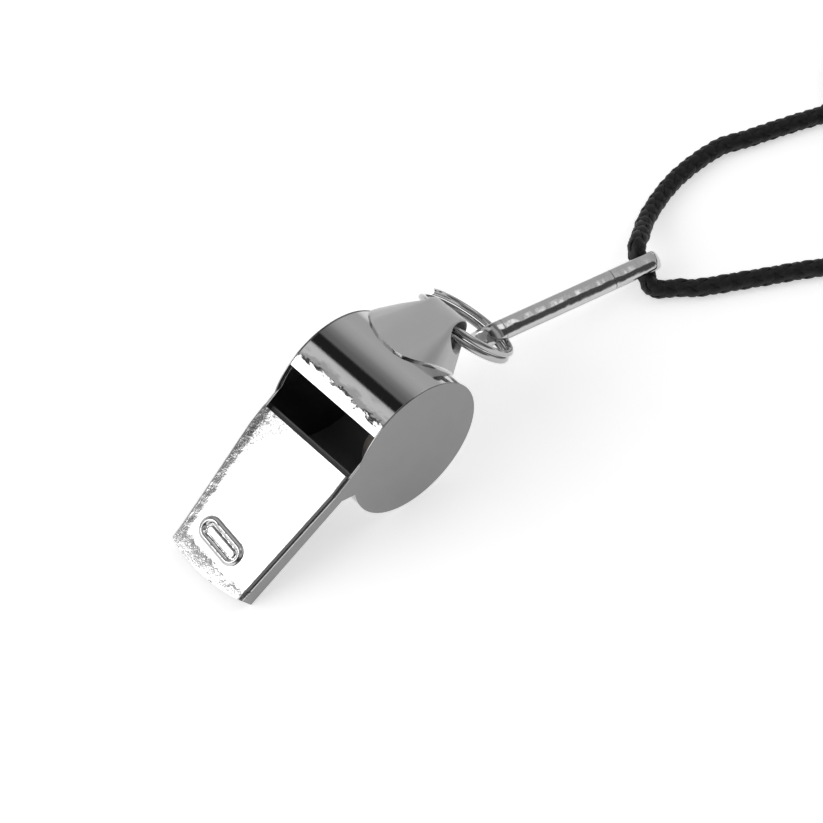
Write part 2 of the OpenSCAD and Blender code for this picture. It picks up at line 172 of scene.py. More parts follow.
class Network:
    """A node tree of a material or of the world."""

    def __init__(self, owner):
        owner.use_nodes = True
        self.tree = owner.node_tree
        self.tree.nodes.clear()

    def node(self, kind, settings=None, sockets=None):
        node = self.tree.nodes.new(kind)
        for key, value in (settings or {}).items():
            if key == "stops":
                self.fill_ramp(node.color_ramp, value)
            else:
                setattr(node, key, value)
        for key, value in (sockets or {}).items():
            self.put(node.inputs[key], value)
        return node

    @staticmethod
    def fill_ramp(ramp, stops):
        while len(ramp.elements) > 1:
            ramp.elements.remove(ramp.elements[0])
        for i, (at, grey) in enumerate(stops):
            stop = ramp.elements[0] if i == 0 else ramp.elements.new(at)
            stop.position = at
            stop.color = (grey, grey, grey, 1)

    def put(self, socket, value):
        if isinstance(value, Value):
            value = value.socket
        if isinstance(value, bpy.types.NodeSocket):
            self.tree.links.new(value, socket)
        else:
            socket.default_value = value

    def ramp(self, value, stops):
        made = self.node("ShaderNodeValToRGB", {"stops": stops}, {"Fac": value})
        return Value(self, made.outputs[0])

    def between(self, value, low, high):
        """0 below low, 1 above high, smooth between them."""
        made = self.node("ShaderNodeMapRange", {"interpolation_type": "SMOOTHSTEP"}, {
            "Value": value, "From Min": low, "From Max": high})
        return Value(self, made.outputs[0])

    def axes(self, vector):
        made = self.node("ShaderNodeSeparateXYZ", sockets={0: vector})
        return [Value(self, socket) for socket in made.outputs]

    def grey(self, value):
        """A grey colour from a value."""
        return self.node("ShaderNodeCombineColor", {}, {0: value, 1: value, 2: value}).outputs[0]

    def seen(self):
        """1 for what the camera, a mirror or glass shows, 0 for what only lights."""
        path = self.node("ShaderNodeLightPath")
        camera, glossy, through = [Value(self, path.outputs[f"Is {kind} Ray"])
                                   for kind in ("Camera", "Glossy", "Transmission")]
        return (camera + glossy + through).within()


class Finish(Network):
    """A procedural material. Its place is in millimetres, in the axes of its piece."""

    def __init__(self, name, at=WORLD):
        self.material = bpy.data.materials.new(name)
        super().__init__(self.material)
        self.shader = self.node("ShaderNodeBsdfPrincipled")
        self.node("ShaderNodeOutputMaterial", sockets={"Surface": self.shader.outputs[0]})
        coords = self.node("ShaderNodeTexCoord")
        turn = at.to_euler()
        self.place = self.node("ShaderNodeMapping", {"vector_type": "TEXTURE"}, {
            "Vector": coords.outputs["Object"], "Location": at.to_translation(),
            "Rotation": (turn.x, turn.y, turn.z), "Scale": (MM, MM, MM)}).outputs[0]

    def surface(self, **values):
        """Sets or links the shader's sockets, named with underscores for spaces."""
        for key, value in values.items():
            name = key.replace("_", " ").title().replace("Ior", "IOR")
            self.put(self.shader.inputs[name], value)

    def noise(self, scale, detail, rough, stretch=(1, 1, 1), shift=0.0):
        where = self.node("ShaderNodeMapping", {"vector_type": "POINT"}, {
            "Vector": self.place, "Scale": stretch, "Location": (shift, shift * 0.7, -shift)})
        made = self.node("ShaderNodeTexNoise", {}, {
            "Vector": where.outputs[0], "Scale": scale, "Detail": detail, "Roughness": rough})
        return Value(self, made.outputs[0])

    def clouds(self):
        """Wide faint patches in the plating."""
        return self.noise(0.35, 4, 0.6, shift=3.1)

    def grain(self):
        """The plating's fine grain."""
        return self.noise(2.6, 5, 0.7, shift=7.7)

    def rubbed(self, stretch):
        """Fine lines rubbed into the plating."""
        return self.noise(1.4, 4, 0.75, stretch=stretch, shift=1.3)

    def cells(self, scale):
        made = self.node("ShaderNodeTexVoronoi", {}, {"Vector": self.place, "Scale": scale})
        return Value(self, made.outputs["Distance"])

    def blend(self, factor, a, b):
        made = self.node("ShaderNodeMix", {"data_type": "RGBA"}, {0: factor, 6: a, 7: b})
        return made.outputs[2]

    def bump(self, height, distance):
        made = self.node("ShaderNodeBump", {}, {
            "Height": height, "Distance": distance * MM, "Strength": 1.0})
        self.put(self.shader.inputs["Normal"], made.outputs[0])


def metal(name, at, shade, rough, mottle=0.06, wave=0.0, speck=0.0, metallic=1.0):
    """Plated sheet or wire: faint cloudy patches, fine rubbed lines, slow waves and pits."""
    finish = Finish(name, at)
    cloud = finish.clouds()
    fine = finish.grain()
    lines = finish.rubbed((1, 6, 6))
    tone = shade * (1 + mottle * (cloud - 0.5) * 2 + mottle * (fine - 0.5) + 0.06 * (lines - 0.5))
    if speck:
        pits = finish.between(finish.noise(3.4, 6, 0.8, shift=11.9), 0.60, 0.72)
        tone = tone * (1 - speck * pits)
    finish.surface(base_color=finish.grey(tone), metallic=metallic,
                   roughness=(rough * (0.8 + 0.4 * lines + 0.3 * (cloud - 0.5))).within())
    slow = finish.noise(0.45, 2, 0.4, shift=5.3)
    finish.bump((fine + lines) * 0.02 + wave * slow, 0.1)
    return finish.material


def cord_finish():
    """Black yarn with a little fluff."""
    finish = Finish("black_braid")
    fibre = finish.noise(2.2, 5, 0.8, shift=2.0)
    fluff = finish.noise(9.0, 3, 0.7, shift=5.0)
    tone = 0.006 + 0.012 * finish.between(fibre, 0.45, 0.75)
    tone = tone + 0.012 * finish.between(fluff, 0.5, 0.8)
    finish.surface(base_color=finish.grey(tone), metallic=0.0,
                   roughness=(0.4 + 0.2 * fluff).within(),
                   sheen_weight=0.06, sheen_roughness=0.4, specular_ior_level=0.3)
    finish.bump(fluff * 0.6 + fibre * 0.4, 0.06)
    return finish.material


def barrel_finish():
    """A near mirror that is wavy beside the lip, and dull inside the chamber, where its colour is
    also darkened by half as a painted shade.
    """
    finish = Finish("plated_barrel", WHISTLE)
    x, _, z = finish.axes(finish.place)
    inside = 1 - finish.between((x * x + z * z) ** 0.5, CHAMBER_R + 0.02, CHAMBER_R + 0.25)
    lip = finish.between(z, 0, 1) * (1 - finish.between(x, 0.9, 2.6))
    lines = finish.rubbed((6, 1, 6))
    # Inside the chamber the colour is darkened by half: a painted shade
    tone = 0.56 * (1 + 0.06 * (lines - 0.5)) * (1 - 0.5 * inside)
    finish.surface(base_color=finish.grey(tone), metallic=(1 - 0.9 * inside).within(),
                   roughness=(0.05 + 0.02 * lines + 0.5 * inside).within())
    dents = finish.noise(0.6, 2.5, 0.5, stretch=(1.0, 0.7, 1.0), shift=5.3)
    slow = finish.noise(0.22, 1, 0.4, shift=8.1)
    finish.bump(lines * 0.02 + lip * (dents - 0.5 + 3 * (slow - 0.5)), 0.1)
    return finish.material


def top_finish():
    """Bright sheet, its plating dimpled along the left edge and at the tip, with a painted shade
    in the dimples, and a painted dark reflection in a speckle near the window's left corner."""
    finish = Finish("bright_top", WHISTLE)
    x, y, _ = finish.axes(finish.place)
    slow = finish.noise(0.28, 4, 0.6, shift=3.1)
    fine = finish.noise(4.5, 5, 0.8, shift=7.7)
    edge = finish.between(y + 2.4 * (slow - 0.5) + (x + TIP_REACH) * -0.06, 3.4, 5.6)
    tip = finish.between(0 - x + 5 * (slow - 0.5), 26.4, 28.4)
    far = finish.between(x + y * 0.9 + 7 * (slow - 0.5), -13.0, -4.0)
    dimple_shade = (edge + tip).within()
    # Near the window's left corner the colour is darkened in a speckle: a painted dark reflection
    tone = 0.62 * (1 + 0.05 * (slow - 0.5) - 0.85 * far * finish.between(fine, 0.3, 0.7))
    # Where the sheet is dimpled the colour is darkened in a speckle: a painted shade in the dents
    tone = tone * (1 - 0.25 * dimple_shade * finish.between(fine, 0.45, 0.6))
    finish.surface(base_color=finish.grey(tone), metallic=1.0,
                   roughness=(0.09 + 0.05 * fine).within())
    small = (0.02 + 0.1 * edge + 0.3 * tip) * fine
    wide = (0.2 + 0.5 * edge + 1.3 * tip) * finish.noise(0.9, 3, 0.6, shift=4.4)
    finish.bump(small + wide, 0.1)
    return finish.material


LUG_EDGE = 0.3


def lug_finish():
    """Satin sheet, bright along its cut edge on the barrel."""
    finish = Finish("satin_lug", WHISTLE)
    x, _, z = finish.axes(finish.place)
    edge_r = WRAP_R + LUG_EDGE
    edge = 1 - finish.between((x * x + z * z) ** 0.5, edge_r - 0.06, edge_r + 0.02)
    cloud = finish.clouds()
    fine = finish.grain()
    tone = 0.66 * (1 + 0.08 * (cloud - 0.5) + 0.04 * (fine - 0.5))
    finish.surface(base_color=finish.grey(tone), metallic=(0.5 + 0.5 * edge).within(),
                   roughness=(0.4 + 0.08 * fine - 0.34 * edge).within())
    finish.bump(fine * 0.04 + cloud * 0.1, 0.1)
    return finish.material


def pea_finish():
    """Pressed cork, its grain coloured a dark grey-brown: a painted shade of the dark chamber it
    lies in.
    """
    finish = Finish("cork")
    grain = finish.noise(0.9, 6, 0.7, shift=1.0)
    pores = finish.between(finish.cells(1.3), 0.12, 0.3)
    # Greys darker than cork: a painted shade of the chamber
    colour = finish.blend(grain, (0.2, 0.185, 0.17, 1), (0.36, 0.33, 0.31, 1))
    finish.surface(base_color=colour, roughness=0.85)
    finish.bump(pores * 0.6 + grain * 0.4, 0.15)
    return finish.material


BRAID = cord_finish()
BARREL = barrel_finish()
TOP = top_finish()
# The side plates are the barrel's plating darkened to 0.25: a painted shade, for the shadowed
# floor that they mirror
SHADED_SIDE_METAL = metal("satin_side_painted_shade", WHISTLE, 0.25, 0.2)
LUG_METAL = lug_finish()
RING_METAL = metal("ring_wire", RING, 0.45, 0.1)
CLIP_METAL = metal("clip_strip", CLIP, 0.55, 0.12, mottle=0.15, speck=0.2, wave=0.9)
# The sheet inside the air way is the plating darkened to 0.2: a painted shade; it is also rough
# and mostly not metallic
INSIDE_SHADED = metal("inside_sheet_painted_shade", WHISTLE, 0.2, 0.5, metallic=0.2)
CORK = pea_finish()


# ---------------------------------------------------------------- mesh helpers
def new_object(name, points, faces, at, material, smooth_angle=35.0):
    mesh = bpy.data.meshes.new(name)
    mesh.from_pydata([at @ Vector(p) for p in points], [], faces)
    shape = bmesh.new()
    shape.from_mesh(mesh)
    bmesh.ops.recalc_face_normals(shape, faces=shape.faces)
    shape.to_mesh(mesh)
    shape.free()
    mesh.materials.append(material)
    mesh.shade_smooth()
    mesh.set_sharp_from_angle(angle=math.radians(smooth_angle))
    return add(name, mesh)


def settle(piece):
    """Applies the piece's modifiers."""
    bpy.context.view_layer.update()
    done = piece.evaluated_get(bpy.context.evaluated_depsgraph_get())
    mesh = bpy.data.meshes.new_from_object(done)
    piece.modifiers.clear()
    piece.data = mesh


def round_edges(piece, width, segments, angle):
    """Rounds the edges where two faces meet at more than the angle, in degrees."""
    bevel = piece.modifiers.new("edges", "BEVEL")
    bevel.width = width * MM
    bevel.segments = segments
    bevel.limit_method = "ANGLE"
    bevel.angle_limit = math.radians(angle)
    bevel.harden_normals = True
    bevel.use_clamp_overlap = True
    settle(piece)


def skin(rows, wrap=True, caps=True):
    """Faces over rows of points, each row as long as the next."""
    n = len(rows[0])
    points = [p for row in rows for p in row]
    faces = []
    for i in range(len(rows) - 1):
        for k in range(n if wrap else n - 1):
            j = (k + 1) % n
            faces.append((i * n + k, i * n + j, (i + 1) * n + j, (i + 1) * n + k))
    if caps:
        faces.append(tuple(range(n - 1, -1, -1)))
        faces.append(tuple(range((len(rows) - 1) * n, len(rows) * n)))
    return points, faces


def join(points, faces, more_points, more_faces):
    """Adds a further shell to the points and faces."""
    offset = len(points)
    points += more_points
    faces += [tuple(i + offset for i in face) for face in more_faces]


def finish_piece(piece, body, slot, *nodes):
    """The piece rides on a body and takes the place of its nodes. The slot is not used."""
    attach(piece, body)
    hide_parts(*nodes)
    return piece


def eased(t):
    t = min(1.0, max(0.0, t))
    return t * t * (3 - 2 * t)


def arc(radius, start, end, count):
    """Points along an arc, its angles in degrees."""
    turns = [math.radians(start + (end - start) * i / count) for i in range(count + 1)]
    return [(radius * math.cos(a), radius * math.sin(a)) for a in turns]


# ---------------------------------------------------------------- cord
# The two strands' routes from the clip, in millimetres, as in the part's source
UPPER = [(37.9, 0.3, 4.1), (39, 1.3, 4.2), (40.9, 2.5, 3.5), (43.7, 4.5, 2.3), (47.1, 6.2, 1.6),
         (50.5, 7.4, 1.4), (53.7, 8.1, 1.4), (57.1, 8.4, 1.4), (60.2, 8.4, 1.4), (62.9, 8.1, 1.4),
         (66.2, 6.8, 1.4), (69.8, 5.6, 1.4), (74.4, 4, 1.4), (78, 2.7, 1.4), (79.7, 2.6, 1.4),
         (81.4, 3.1, 1.5), (83, 4.2, 1.6), (84.6, 5.8, 2), (86.7, 7.4, 2.5), (89.3, 8.6, 3.3),
         (91.9, 9, 4.1)]
LOWER = [(36.6, -4.3, 1.5), (37.7, -5.5, 1.4), (39.3, -6.6, 1.4), (40.7, -8, 1.4),
         (42.5, -9.2, 1.4), (46.3, -11.4, 1.4), (49.9, -13.5, 1.4), (53.8, -15.7, 1.4),
         (56.7, -17.5, 1.4), (61.3, -19.8, 1.4)]
CLIP_ACROSS = Vector((0.160731, 0.81591, 0.555389))
EYE_STEP = 1.4
CORD_STEP, FINE_STEP = 0.5, 0.2
COIL_CENTRE = (97, -11.9)
COIL_START, COIL_EXIT, COIL_RINGS = 240, 90, 24
COIL_LOOPS = 8
COIL_WOUND = COIL_LOOPS + (COIL_EXIT + 360 - COIL_START) / 360
COIL_PITCH = CORD_D + 0.5
COIL_R = 20.4
COIL_IN_R = COIL_R - COIL_WOUND / 2 * COIL_PITCH
COIL_STEPS = round(COIL_WOUND * COIL_RINGS)
KNOT_D, KNOT_LEN, KNOT_BACK, TAIL_LEN = 6.4, 8.0, 12.4, 5.0
KNOT_TURNS, KNOT_STEPS, KNOT_STEP = 1.5, 30, 0.4
WIND_FROM, WIND_SHORT = 0.4, 0.9
TAIL_RISE, TAIL_STEPS = 1.35, 4


def coil_point(t):
    """Inwards in one layer and outwards in the layer over it."""
    a = math.radians(COIL_START + 360 * COIL_WOUND * t)
    r = COIL_IN_R + (COIL_R - COIL_IN_R) * abs(1 - 2 * t)
    level = CORD_D / 2 + COIL_PITCH * eased((t - 0.5) * COIL_WOUND / 0.5 + 0.5)
    return Vector((COIL_CENTRE[0] + r * math.cos(a), COIL_CENTRE[1] + r * math.sin(a), level))


def coil_way(t, step):
    return (coil_point(t + step) - coil_point(t)).normalized()


def coil_in(back):
    """A place on the straight that leads into the coil."""
    return coil_point(0) - back * coil_way(0, 1 / COIL_STEPS)


COIL_OUT = coil_point(1) - CORD_D * coil_way(1, -1 / COIL_STEPS)
KNOT_WAY = -coil_way(0, 1 / COIL_STEPS)
KNOT_START = coil_in(KNOT_BACK)
KNOT_END = coil_in(KNOT_BACK + KNOT_LEN)


def curve_through(points, step, floor=CORD_D / 2 + 0.02):
    """Even steps along one smooth curve through the points, no part of it below the floor."""
    p = [Vector(q) for q in points]
    p = [2 * p[0] - p[1]] + p + [2 * p[-1] - p[-2]]
    fine = []
    for i in range(1, len(p) - 2):
        a, b, c, d = p[i - 1:i + 3]
        t1 = max(1e-6, (b - a).length ** 0.5)
        t2 = t1 + max(1e-6, (c - b).length ** 0.5)
        t3 = t2 + max(1e-6, (d - c).length ** 0.5)
        count = max(2, int((c - b).length / FINE_STEP))
        for k in range(count):
            t = t1 + (t2 - t1) * k / count
            a1 = a * (t1 - t) / t1 + b * t / t1
            a2 = b * (t2 - t) / (t2 - t1) + c * (t - t1) / (t2 - t1)
            a3 = c * (t3 - t) / (t3 - t2) + d * (t - t2) / (t3 - t2)
            b1 = a1 * (t2 - t) / t2 + a2 * t / t2
            b2 = a2 * (t3 - t) / (t3 - t1) + a3 * (t - t1) / (t3 - t1)
            fine.append(b1 * (t2 - t) / (t2 - t1) + b2 * (t - t1) / (t2 - t1))
    fine.append(p[-2])
    line = np.array([tuple(q) for q in fine])
    line[:, 2] = np.maximum(line[:, 2], floor)
    along = np.concatenate([[0], np.cumsum(np.linalg.norm(np.diff(line, axis=0), axis=1))])
    count = max(2, int(round(along[-1] / step)))
    at = np.linspace(0, along[-1], count + 1)
    return np.stack([np.interp(at, along, line[:, i]) for i in range(3)], axis=1)


def unit_rows(rows):
    return rows / np.linalg.norm(rows, axis=1)[:, None]


def carried_axes(line):
    """Directions along and square to a line, carried along it without twist."""
    way = unit_rows(np.gradient(line, axis=0))
    side = np.zeros_like(line)
    first = np.cross(way[0], (0.0, 0.0, 1.0))
    side[0] = first / np.linalg.norm(first)
    for i in range(1, len(line)):
        s = side[i - 1] - way[i] * np.dot(side[i - 1], way[i])
        side[i] = s / np.linalg.norm(s)
    return side, np.cross(way, side)


BRAID_TURN = 12.0
YARNS, YARN_SIDES, CORE_SIDES = 4, 8, 6
YARN_R, YARN_WAVE, YARN_T, YARN_W = 0.86, 0.2, 0.29, 0.74
CORE_R = YARN_R * 0.75


def tube(centre, out, round_way, thick, flat, sides):
    """An oval tube along a line of centres."""
    turns = [math.tau * k / sides for k in range(sides)]
    return skin(np.stack([centre + out * (thick * math.cos(a)) + round_way * (flat * math.sin(a))
                          for a in turns], axis=1))


def braid(line):
    """Eight yarns, four each way round, over one and under one, with a core inside them."""
    side, up = carried_axes(line)
    s = np.concatenate([[0], np.cumsum(np.linalg.norm(np.diff(line, axis=0), axis=1))])
    points, faces = [], []
    for turn in (1, -1):
        for k in range(YARNS):
            a = math.tau * k / YARNS + turn * math.tau * s / BRAID_TURN
            r = YARN_R + turn * YARN_WAVE * np.cos(YARNS * math.tau * s / BRAID_TURN)
            out = np.cos(a)[:, None] * side + np.sin(a)[:, None] * up
            centre = line + r[:, None] * out
            run = unit_rows(np.gradient(centre, axis=0))
            round_way = unit_rows(np.cross(run, out))
            lift = np.cross(round_way, run)
            join(points, faces, *tube(centre, lift, round_way, YARN_T, YARN_W, YARN_SIDES))
    join(points, faces, *tube(line, side, up, CORE_R, CORE_R, CORE_SIDES))
    return points, faces


def cord_piece(name, points, lay, far_end, knots, *nodes):
    line = curve_through(points, CORD_STEP)
    piece = new_object(name, *braid(line), WORLD, BRAID, 60)
    finish_piece(piece, "clip", "cord", *nodes)


def knot_piece():
    """Each cord end winds round the other for half of the knot and leaves beside it."""
    up = Vector((0, 0, 1))
    across = KNOT_WAY.cross(up)
    wind_r = (KNOT_D - CORD_D) / 2
    points, faces = [], []
    for start, way, turn in ((KNOT_START, KNOT_WAY, 1), (KNOT_END, -KNOT_WAY, -1)):
        base = Vector((start.x, start.y, 0)) + up * (KNOT_D / 2)
        line = []
        for i in range(KNOT_STEPS + 1):
            share = i / KNOT_STEPS
            a = -math.pi / 2 + turn * math.tau * KNOT_TURNS * share
            line.append(base + way * (WIND_FROM + (KNOT_LEN / 2 - WIND_SHORT) * share)
                        + wind_r * (math.cos(a) * across + math.sin(a) * up))
        for share, rise in ((0.6, 0.9), (0.8, 1.0), (1.0, TAIL_RISE)):
            line.append(base + way * (KNOT_LEN * share) + up * rise)
        for k in range(1, TAIL_STEPS + 1):
            line.append(base + way * (KNOT_LEN + TAIL_LEN * k / TAIL_STEPS) + up * TAIL_RISE)
        join(points, faces, *braid(curve_through(line, KNOT_STEP, floor=0)))
    piece = new_object("cord_knot_wound", points, faces, WORLD, BRAID, 60)
    return finish_piece(piece, "clip", "cord", "cord_knot")


def make_cords():
    knot = knot_piece()
    turns = [coil_point(i / COIL_STEPS) for i in range(COIL_STEPS, -1, -1)]
    upper = [EYE, EYE + EYE_STEP * CLIP_ACROSS] + UPPER + [COIL_OUT] + turns
    upper += [coil_in(CORD_D), coil_in(KNOT_BACK / 2), KNOT_START]
    lower = [EYE, EYE - EYE_STEP * CLIP_ACROSS] + LOWER + [KNOT_END]
    cord_piece("cord_upper_and_coil", upper, "coiled", "knot", [knot], "cord_upper", "cord_coil")
    cord_piece("cord_lower_strand", lower, "loose", "object", [], "cord_lower")


# ---------------------------------------------------------------- stage and light
FLOOR_HALF = 3
FLOOR_SHADE, FLOOR_GLOW = 0.8, 0.57
# The walls' grey along x, from the mouthpiece's side (0) to the clip's side (1)
WALLS = [(0.0, 1.0), (0.220, 1.0), (0.225, 0.05), (0.268, 0.05), (0.276, 0.33), (0.33, 0.33),
         (0.36, 0.49), (0.40, 0.49), (0.432, 0.40), (0.443, 0.012), (0.567, 0.012),
         (0.58, 0.10), (0.6, 0.11), (0.63, 0.112), (0.70, 0.18), (0.745, 0.265),
         (0.79, 0.318), (0.85, 0.36), (1.0, 0.31)]
WALL_LIGHT, PAST_LIGHT, BEHIND_DARK = 1.7, 0.5, 0.88
CARD_LIGHT, CARD_AT, CARD_STEEP, CARD_LEAST, CARD_MOST = 0.9, 0.786, 17, 0.05, 0.42
LOW_DARK, HORIZON_LIGHT = 0.85, 0.9
PANEL_AT, PANEL_AIM = Vector((-0.83, 0.38, 0.55)), Vector((0.01, 0, 0))
PANEL_SIZE, PANEL_POWER = (0.7, 0.6), 2.5


def make_stage():
    """A pale floor that glows a little, so that it shows white and keeps the shadow."""
    h = FLOOR_HALF
    mesh = bpy.data.meshes.new("floor")
    mesh.from_pydata([(-h, -h, 0), (h, -h, 0), (h, h, 0), (-h, h, 0)], [], [(0, 1, 2, 3)])
    floor = add("floor", mesh)
    material = bpy.data.materials.new("pale_floor")
    net = Network(material)
    paper = net.node("ShaderNodeBsdfDiffuse", {}, {
        "Color": (FLOOR_SHADE, FLOOR_SHADE, FLOOR_SHADE, 1)})
    glow = net.node("ShaderNodeEmission", {}, {"Strength": FLOOR_GLOW * net.seen()})
    both = net.node("ShaderNodeAddShader", {}, {0: paper.outputs[0], 1: glow.outputs[0]})
    net.node("ShaderNodeOutputMaterial", {}, {"Surface": both.outputs[0]})
    mesh.materials.append(material)


def make_lights():
    """A studio: grey walls in bands along x with a black flag overhead, a lit card, a pale
    horizon and one soft lamp."""
    world = bpy.data.worlds.new("studio")
    bpy.context.scene.world = world
    net = Network(world)
    x, y, z = net.axes(net.node("ShaderNodeTexCoord").outputs["Generated"])
    walls = net.ramp(x * 0.5 + 0.5, WALLS) * WALL_LIGHT
    # The flag overhead is short, and the wall past its two ends is grey
    past = 1 - net.between(y, 0.2, 0.3) + net.between(y, 0.6, 0.7)
    past = past * net.between(x, -0.14, -0.1)
    walls = walls + PAST_LIGHT * past * (1 - net.between(x, 0.12, 0.2))
    # Dark on the right of the mouthpiece
    behind = net.between(0 - y, 0.0, 0.1) * net.between(-0.05 - x, 0, 0.2)
    walls = walls * (1 - BEHIND_DARK * behind)
    # On the clip's side a lit card with a slanting edge, and dark on the right of it
    card = (CARD_LEAST + (CARD_AT - x + y * 0.13) * CARD_STEEP).least(CARD_MOST)
    right = net.between(x, 0.38, 0.46)
    low_dark = right * net.between(0 - y, 0.46, 0.5)
    lit = right * net.between(0 - y, 0.47 - card, 0.49 - card) * (1 - low_dark)
    walls = walls * (1 - LOW_DARK * low_dark) + CARD_LIGHT * lit
    horizon = 1 - net.between(z, 0.02, 0.14)
    walls = walls * (1 - horizon) + HORIZON_LIGHT * horizon
    sky = net.node("ShaderNodeBackground", {}, {"Color": net.grey(walls), "Strength": 1.0})
    net.node("ShaderNodeOutputWorld", {}, {"Surface": sky.outputs[0]})
    lamp = bpy.data.lights.new("soft_panel", "AREA")
    lamp.shape = "RECTANGLE"
    lamp.size, lamp.size_y = PANEL_SIZE
    lamp.energy = PANEL_POWER
    panel = add("soft_panel", lamp)
    panel.location = PANEL_AT
    panel.rotation_euler = (PANEL_AIM - PANEL_AT).to_track_quat("-Z", "Y").to_euler()


# ---------------------------------------------------------------- whistle
BARREL_STEPS, DISC_STEPS = 220, 180
RIM_T, PLATE_FIT = 0.2, 0.02
SHEET_EDGE = 0.06


def barrel_wrap():
    """The barrel's sheet, from the heel of the mouthpiece round to the lip."""
    front = 180 - math.degrees(math.asin(HEEL_HEIGHT / WRAP_R))
    end = 360 + 90 + ROOF_LIP
    outer = arc(WRAP_R, front, end, BARREL_STEPS)
    inner = arc(CHAMBER_R, front, end, BARREL_STEPS)
    wide = HALF_W - RIM_T
    rows = [[(ox, -wide, oz), (ox, wide, oz), (ix, wide, iz), (ix, -wide, iz)]
            for (ox, oz), (ix, iz) in zip(outer, inner)]
    piece = new_object("barrel_wrap_sheet", *skin(rows), WHISTLE, BARREL)
    round_edges(piece, SHEET_EDGE, 2, 35)
    finish_piece(piece, "whistle", "barrel_plate", "barrel_wrap")


def plate_layer(side, outer, inner, disc_r):
    """One layer of a side plate, between two depths from its outer face."""
    web_x = -math.sqrt(disc_r ** 2 - TOP_UNDER ** 2)
    foot_x = -math.sqrt(disc_r ** 2 - HEEL_FOOT ** 2)
    start = math.degrees(math.atan2(TOP_UNDER, web_x))
    end = math.degrees(math.atan2(HEEL_FOOT, foot_x)) - 360
    flat = [(-BEND_REACH, TOP_UNDER), (-WINDOW_REACH, TOP_UNDER)]
    flat += arc(disc_r, start, end, DISC_STEPS) + [(-BEND_REACH, HEEL_HEIGHT)]
    outline = flat + [(-TIP_REACH, TIP_HEIGHT), (-TIP_REACH, TOP_UNDER)]
    n, m = len(outline), len(flat)
    points = [(x, side * half_width(x, depth), z) for depth in (outer, inner) for x, z in outline]
    faces = []
    for loop in ([*range(m)], [m - 1, m, m + 1, 0]):
        faces.append(tuple(loop))
        faces.append(tuple(n + i for i in reversed(loop)))
    for i in range(n):
        j = (i + 1) % n
        faces.append((i, j, n + j, n + i))
    return points, faces


def side_plate(side, name):
    """The disc's rim closes the barrel's sheet, and the rest of the plate lies inside it."""
    points, faces = plate_layer(side, 0.0, RIM_T, DISC_R)
    join(points, faces, *plate_layer(side, RIM_T, PLATE_T, CHAMBER_R - PLATE_FIT))
    piece = new_object(name + "_sheet", points, faces, WHISTLE, SHADED_SIDE_METAL, 30)
    round_edges(piece, SHEET_EDGE, 2, 20)
    finish_piece(piece, "whistle", "side_plate", name)


def half_width(x, inset=0.0):
    """Half the mouthpiece's width at a place along it, less an inset."""
    return HALF_W - inset + min(0.0, x + BEND_REACH) * math.tan(TAPER)


# The pressed oval: its place on the top sheet, and the radius, width and height of its bead, of
# the groove inside the bead and of the flat inside the groove
OVAL_X, OVAL_Y, OVAL_TURN, OVAL_HALF = 3.9 - TIP_REACH, 0.7, math.radians(6), 2.3
BEAD_R, BEAD_W, BEAD_H = 1.22, 0.55, 0.38
GROOVE_R, GROOVE_W, GROOVE_H = 0.68, 0.22, 0.14
FLAT_R, FLAT_W, FLAT_H = 0.3, 0.3, 0.05


def oval_rise(x, y):
    """Height of the pressed oval at a place on the top sheet."""
    u, v = x - OVAL_X, y - OVAL_Y
    across = u * math.cos(OVAL_TURN) - v * math.sin(OVAL_TURN)
    along = u * math.sin(OVAL_TURN) + v * math.cos(OVAL_TURN)
    off = math.hypot(across, max(0.0, abs(along) - OVAL_HALF))
    bead = BEAD_H * (1 - eased(abs(off - BEAD_R) / BEAD_W))
    groove = GROOVE_H * (1 - eased(abs(off - GROOVE_R) / GROOVE_W))
    return bead - groove + FLAT_H * (1 - eased((off - FLAT_R) / FLAT_W))


ROLL_R, ROLL_END, ROLL_STEPS = 1.0, math.radians(60), 10
ROLL_IN = ROLL_R * math.sin(ROLL_END)
ROLL = [ROLL_IN - ROLL_R * math.sin(ROLL_END * (1 - k / ROLL_STEPS)) for k in range(ROLL_STEPS)]
LEFT_ROLL, LEFT_DROP, LEFT_FROM = 0.45, 0.17, 1.9
CURL, CURL_FROM, CURL_LEN, CURL_SIDE, CURL_W = 0.17, 26.0, 3.2, 3.0, 5
TIP_ARC = ((TIP_W / 2) ** 2 + TIP_BULGE ** 2) / (2 * TIP_BULGE)
TOP_ROWS, TOP_ACROSS, TIP_ROUNDS, TOP_EDGE = 190, 140, 4, 0.07


def edge_drop(x, y, inward):
    """How far the top sheet lies below its level face: its long edges roll down, the left one
    after a gentle fall, and the tip turns up a little on the left."""
    curl = CURL * eased((-x - CURL_FROM) / CURL_LEN) * eased((y + CURL_SIDE) / CURL_W)
    left = y > 0
    fall = LEFT_DROP * eased((LEFT_FROM - inward) / LEFT_FROM) if left else 0.0
    size = LEFT_ROLL if left else 1.0
    if inward >= ROLL_IN * size:
        return fall - curl
    return fall - curl + size * (ROLL_R - math.sqrt(ROLL_R ** 2 - (ROLL_IN - inward / size) ** 2))


def top_across(k, x):
    """Where point k of a row lies across the top sheet, at a place along it."""
    half = half_width(x)
    last = TOP_ACROSS - 1
    if k < ROLL_STEPS:
        return ROLL[k] - half
    if k > last - ROLL_STEPS:
        return half - ROLL[last - k]
    return (half - ROLL_IN) * ((k - ROLL_STEPS) / (last - 2 * ROLL_STEPS) * 2 - 1)


def tip_x(k):
    """Where point k's line along the top sheet meets the arc of the tip."""
    y = top_across(k, -TIP_REACH)
    for _ in range(TIP_ROUNDS):
        x = -TIP_REACH - TIP_BULGE + TIP_ARC - math.sqrt(TIP_ARC ** 2 - y ** 2)
        y = top_across(k, x)
    return x


